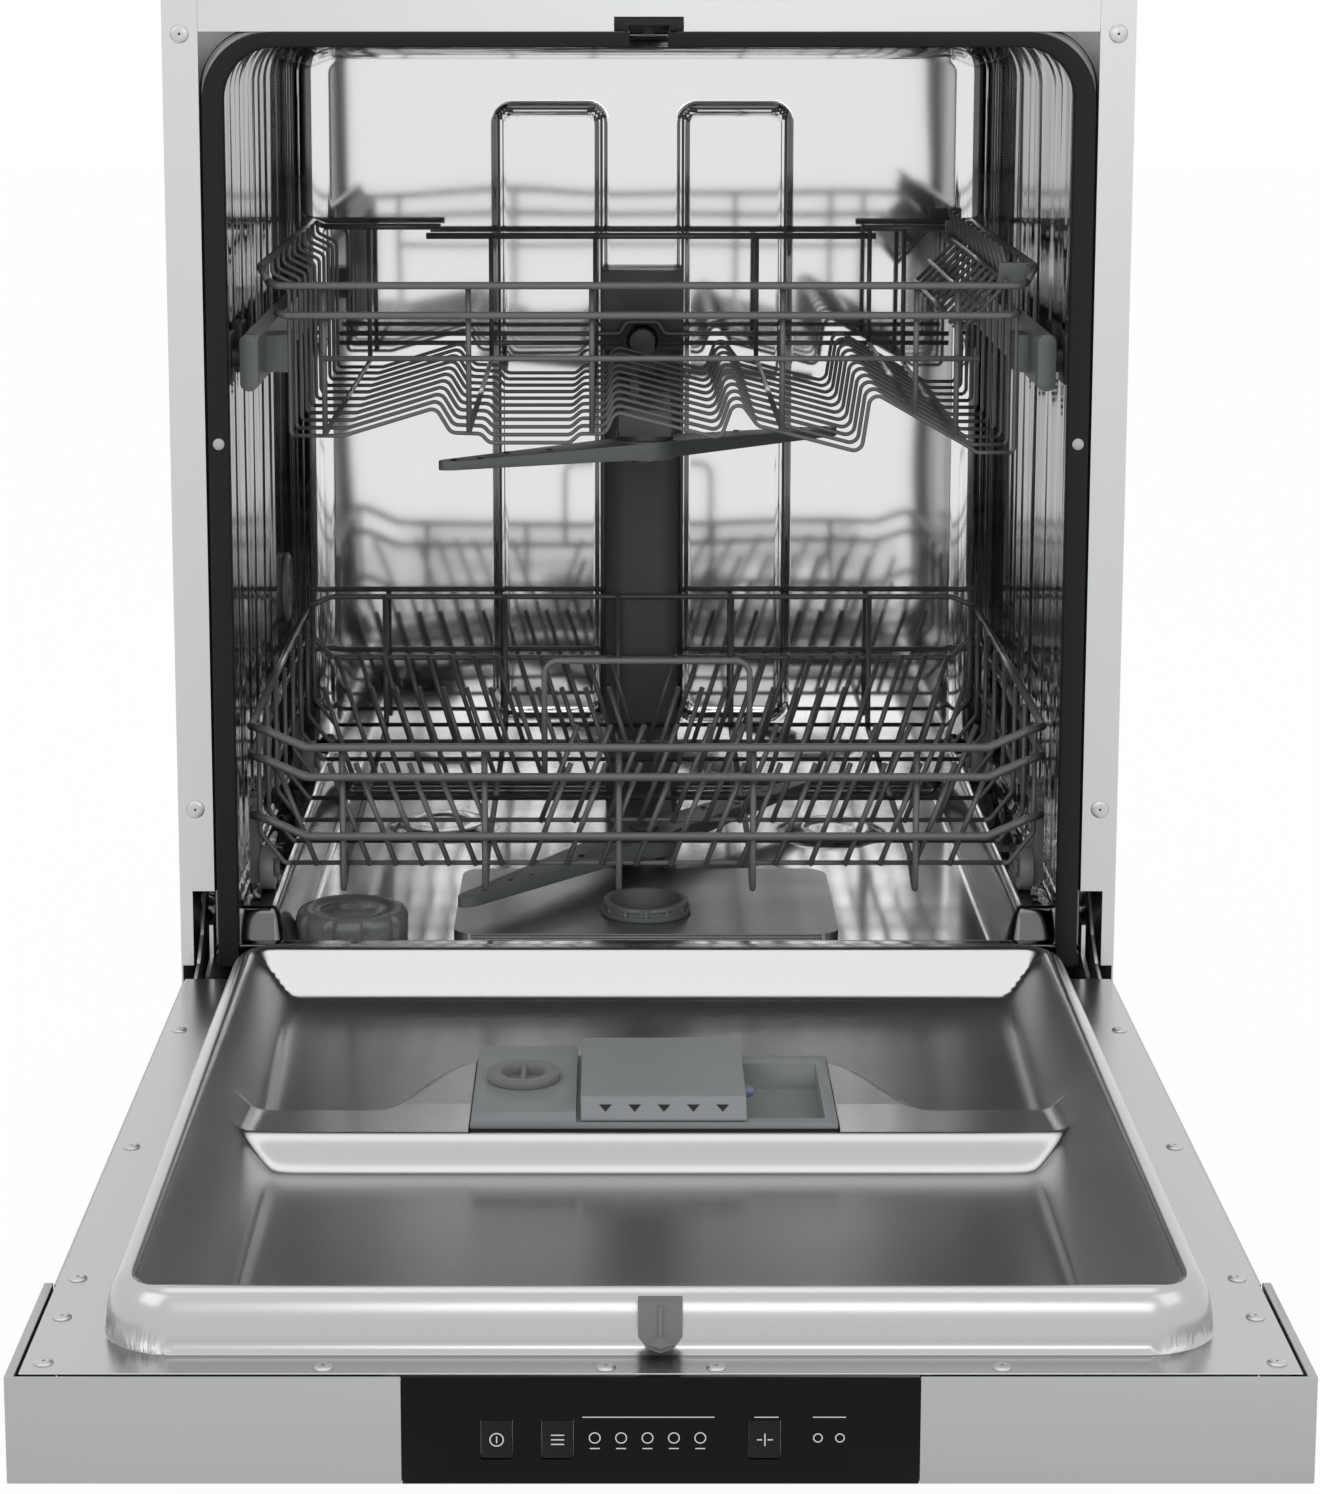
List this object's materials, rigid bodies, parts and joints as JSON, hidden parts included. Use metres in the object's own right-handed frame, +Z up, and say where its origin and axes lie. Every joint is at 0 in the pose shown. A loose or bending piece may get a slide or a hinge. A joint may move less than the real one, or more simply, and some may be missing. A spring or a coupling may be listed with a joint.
{
  "type": "semi-integrated dishwasher",
  "caption": "Built-in dishwasher with a stainless tub, a fold-down door with its control fascia, two sliding wire racks and two spray arms.",
  "frame": {"origin": "on the floor under the middle of the whole outline, with the door folded open", "axes": "+X to the right of a person facing the machine, +Y from the door into the casing, +Z up"},
  "size_m": [0.596, 1.148, 0.817],
  "materials": {
    "casing_steel": "galvanised sheet",
    "tub_steel": "bright stainless sheet",
    "door_steel": "brushed stainless sheet",
    "black_rubber": "soft matt seal",
    "black_plastic": "moulded",
    "black_gloss": "polished",
    "grey_plastic": "moulded mid grey",
    "dark_plastic": "moulded dark grey",
    "pale_plastic": "moulded pale grey",
    "wire_coat": "coated steel wire",
    "felt": "bitumen-backed felt",
    "zinc_steel": "zinc plated"
  },
  "bodies": {
    "cabinet": {"base_tray": "black_plastic", "side_panel_left": "casing_steel", "side_panel_right": "casing_steel", "rear_panel": "casing_steel", "front_crossbar": "tub_steel", "tub_wrapper": "tub_steel", "tub_back_wall": "tub_steel", "tub_floor": "tub_steel", "tub_gasket": "black_rubber", "insulation_mats": "felt", "latch_housing": "black_plastic", "frame_screws": "zinc_steel", "hinge_brackets": "zinc_steel", "plinth_panel": "casing_steel", "sump": "dark_plastic", "wash_pump": "pale_plastic", "drain_pump": "pale_plastic", "softener_tank": "pale_plastic", "inlet_valve": "pale_plastic", "feed_duct": "grey_plastic", "filter_plate": "tub_steel", "roller_brackets": "pale_plastic", "door_springs": "zinc_steel"},
    "upper_rack": {"upper_rails": "door_steel", "rack_hangers": "grey_plastic", "upper_rack_frame": "wire_coat", "upper_rack_floor": "wire_coat", "upper_feed_pipe": "grey_plastic"},
    "lower_rack": {"lower_rack_frame": "wire_coat", "lower_rack_tines": "wire_coat", "wheel_carriers": "grey_plastic"},
    "door": {"door_liner": "tub_steel", "door_skin": "door_steel", "fascia": "door_steel", "control_insert": "black_gloss", "dispenser_body": "grey_plastic", "latch_catch": "grey_plastic", "hinge_arms": "zinc_steel", "door_screws": "zinc_steel"},
    "latch_tongue": {"latch_tongue": "black_plastic"},
    "wash_impeller": {"wash_impeller": "dark_plastic"},
    "wall_rollers_front": {"wall_rollers_front": "pale_plastic"},
    "wall_rollers_rear": {"wall_rollers_rear": "pale_plastic"},
    "foot_front_left": {"foot_front_left": "black_plastic"},
    "foot_front_right": {"foot_front_right": "black_plastic"},
    "foot_rear_left": {"foot_rear_left": "black_plastic"},
    "foot_rear_right": {"foot_rear_right": "black_plastic"},
    "filter_cylinder": {"filter_cylinder": "dark_plastic"},
    "salt_cap": {"salt_cap": "dark_plastic"},
    "lower_spray_arm": {"lower_spray_arm": "dark_plastic"},
    "cup_shelf": {"cup_shelf": "wire_coat"},
    "upper_spray_arm": {"upper_spray_arm": "dark_plastic"},
    "lower_wheels_front": {"lower_wheels_front": "grey_plastic"},
    "lower_wheels_rear": {"lower_wheels_rear": "grey_plastic"},
    "button_power": {"button_power": "black_gloss"},
    "button_programme": {"button_programme": "black_gloss"},
    "button_half_load": {"button_half_load": "black_gloss"},
    "dispenser_lid": {"dispenser_lid": "grey_plastic"},
    "rinse_cap": {"rinse_cap": "dark_plastic"}
  },
  "joints": [
    {"name": "door_hinge", "type": "hinge", "parent": "cabinet", "child": "door", "pos_m": [0, 0.042, 0.1966], "axis": [1, 0, 0], "range_deg": [-90, 0], "deforming": ["tub_gasket", "door_springs"]},
    {"name": "lower_rack_slide", "type": "slide", "parent": "cabinet", "child": "lower_rack", "axis": [0, -1, 0], "range_m": [0, 0.48]},
    {"name": "upper_rack_slide", "type": "slide", "parent": "cabinet", "child": "upper_rack", "axis": [0, -1, 0], "range_m": [0, 0.31]},
    {"name": "lower_wheels_front_spin", "type": "hinge", "parent": "lower_rack", "child": "lower_wheels_front", "pos_m": [0, 0.13, 0.2498], "axis": [1, 0, 0], "continuous": true},
    {"name": "lower_wheels_rear_spin", "type": "hinge", "parent": "lower_rack", "child": "lower_wheels_rear", "pos_m": [0, 0.429, 0.2498], "axis": [1, 0, 0], "continuous": true},
    {"name": "wall_rollers_front_spin", "type": "hinge", "parent": "cabinet", "child": "wall_rollers_front", "pos_m": [0, 0.116, 0.59], "axis": [1, 0, 0], "continuous": true},
    {"name": "wall_rollers_rear_spin", "type": "hinge", "parent": "cabinet", "child": "wall_rollers_rear", "pos_m": [0, 0.182, 0.59], "axis": [1, 0, 0], "continuous": true},
    {"name": "cup_shelf_fold", "type": "hinge", "parent": "upper_rack", "child": "cup_shelf", "pos_m": [0.22865, 0.294, 0.6384], "axis": [0, 1, 0], "range_deg": [0, 45]},
    {"name": "upper_arm_spin", "type": "hinge", "parent": "upper_rack", "child": "upper_spray_arm", "pos_m": [0, 0.297, 0.5055], "axis": [0, 0, 1], "continuous": true},
    {"name": "lower_arm_spin", "type": "hinge", "parent": "cabinet", "child": "lower_spray_arm", "pos_m": [0, 0.304, 0.222], "axis": [0, 0, 1], "continuous": true},
    {"name": "salt_cap_turn", "type": "hinge", "parent": "cabinet", "child": "salt_cap", "pos_m": [-0.195, 0.134, 0.211], "axis": [0, 0, 1], "range_deg": [0, 180]},
    {"name": "filter_turn", "type": "hinge", "parent": "cabinet", "child": "filter_cylinder", "pos_m": [0, 0.181, 0.182], "axis": [0, 0, 1], "range_deg": [0, 90]},
    {"name": "rinse_cap_turn", "type": "hinge", "parent": "door", "child": "rinse_cap", "pos_m": [-0.072, -0.211, 0.222], "axis": [0, 0, 1], "range_deg": [0, 90]},
    {"name": "dispenser_lid_slide", "type": "slide", "parent": "door", "child": "dispenser_lid", "axis": [1, 0, 0], "range_m": [0, 0.045]},
    {"name": "latch_tongue_slide", "type": "slide", "parent": "cabinet", "child": "latch_tongue", "axis": [0, 0, 1], "range_m": [0, 0.005], "stiffness_N_per_m": 200, "springref_m": -0.005},
    {"name": "button_power_press", "type": "slide", "parent": "door", "child": "button_power", "axis": [0, 1, 0], "range_m": [0, 0.001], "stiffness_N_per_m": 500, "springref_m": -0.002},
    {"name": "button_programme_press", "type": "slide", "parent": "door", "child": "button_programme", "axis": [0, 1, 0], "range_m": [0, 0.001], "stiffness_N_per_m": 500, "springref_m": -0.002},
    {"name": "button_half_load_press", "type": "slide", "parent": "door", "child": "button_half_load", "axis": [0, 1, 0], "range_m": [0, 0.001], "stiffness_N_per_m": 500, "springref_m": -0.002},
    {"name": "impeller_spin", "type": "hinge", "parent": "cabinet", "child": "wash_impeller", "pos_m": [0, 0.354, 0.14], "axis": [0, 1, 0], "continuous": true},
    {"name": "foot_front_left_turn", "type": "hinge", "parent": "cabinet", "child": "foot_front_left", "pos_m": [-0.262, 0.154, 0.02], "axis": [0, 0, 1], "continuous": true},
    {"name": "foot_rear_left_turn", "type": "hinge", "parent": "cabinet", "child": "foot_rear_left", "pos_m": [-0.262, 0.504, 0.02], "axis": [0, 0, 1], "continuous": true},
    {"name": "foot_front_right_turn", "type": "hinge", "parent": "cabinet", "child": "foot_front_right", "pos_m": [0.262, 0.154, 0.02], "axis": [0, 0, 1], "continuous": true},
    {"name": "foot_rear_right_turn", "type": "hinge", "parent": "cabinet", "child": "foot_rear_right", "pos_m": [0.262, 0.504, 0.02], "axis": [0, 0, 1], "continuous": true}
  ],
  "couplings": [
    {"joint": "lower_wheels_front_spin", "follows": "lower_rack_slide", "rad_per_m": 68.966},
    {"joint": "lower_wheels_rear_spin", "follows": "lower_rack_slide", "rad_per_m": 68.966},
    {"joint": "wall_rollers_front_spin", "follows": "upper_rack_slide", "rad_per_m": 73.529},
    {"joint": "wall_rollers_rear_spin", "follows": "upper_rack_slide", "rad_per_m": 73.529}
  ]
}
